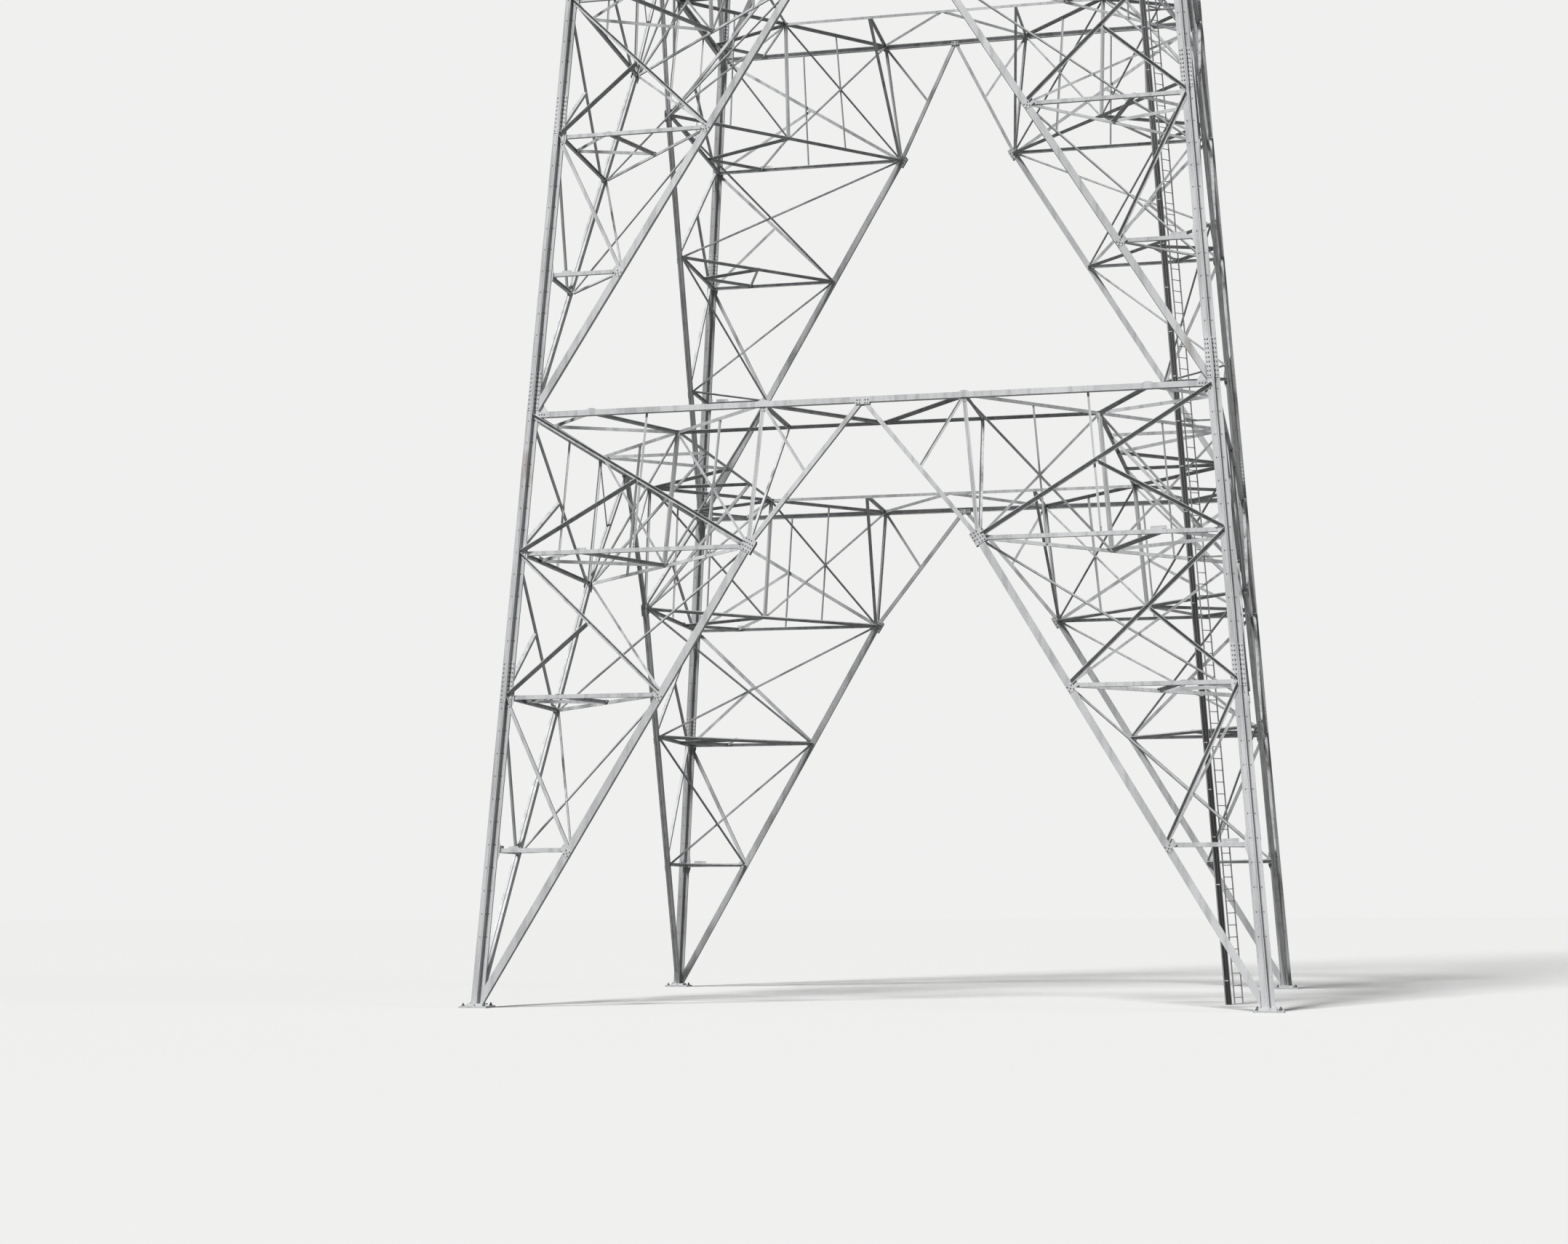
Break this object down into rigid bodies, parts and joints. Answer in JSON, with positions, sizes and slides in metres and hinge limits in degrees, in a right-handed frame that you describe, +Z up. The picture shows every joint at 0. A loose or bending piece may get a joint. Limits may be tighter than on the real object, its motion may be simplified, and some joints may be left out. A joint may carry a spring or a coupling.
{
  "type": "self-supporting lattice radio tower, 1:10 scale model",
  "caption": "Four-legged tapering steel lattice tower for radio aerials, with inverted V bracing on every side, an inside ladder and a cable tray.",
  "frame": {"origin": "middle of the underside of the front left base plate", "axes": "+X to the right along the front, +Y towards the back, +Z up"},
  "size_m": [2.022, 2.022, 12.1922],
  "materials": {
    "structural_steel": "dull galvanised",
    "fittings_steel": "dull galvanised"
  },
  "bodies": {
    "root": {"base_plates": "fittings_steel", "front_left_leg": "structural_steel", "front_right_leg": "structural_steel", "back_right_leg": "structural_steel", "back_left_leg": "structural_steel", "front_bracing_panel_1": "structural_steel", "right_bracing_panel_1": "structural_steel", "back_bracing_panel_1": "structural_steel", "left_bracing_panel_1": "structural_steel", "girts_panel_1": "structural_steel", "front_bracing_panel_2": "structural_steel", "right_bracing_panel_2": "structural_steel", "back_bracing_panel_2": "structural_steel", "left_bracing_panel_2": "structural_steel", "girts_panel_2": "structural_steel", "front_bracing_panel_3": "structural_steel", "right_bracing_panel_3": "structural_steel", "back_bracing_panel_3": "structural_steel", "left_bracing_panel_3": "structural_steel", "girts_panel_3": "structural_steel", "front_bracing_upper": "structural_steel", "right_bracing_upper": "structural_steel", "back_bracing_upper": "structural_steel", "left_bracing_upper": "structural_steel", "girts_upper": "structural_steel", "corner_ties_upper": "structural_steel", "lower_hips_panel_1": "structural_steel", "upper_hips_panel_1": "structural_steel", "corner_plans_panel_1": "structural_steel", "girt_corners_panel_1": "structural_steel", "girt_inner_frame_1": "structural_steel", "inner_braces_panel_1": "structural_steel", "lower_hips_panel_2": "structural_steel", "upper_hips_panel_2": "structural_steel", "corner_plans_panel_2": "structural_steel", "girt_corners_panel_2": "structural_steel", "girt_inner_frame_2": "structural_steel", "inner_braces_panel_2": "structural_steel", "access_ladder": "fittings_steel", "cable_tray": "fittings_steel", "run_brackets": "fittings_steel", "aerial_seat": "fittings_steel"}
  },
  "joints": []
}
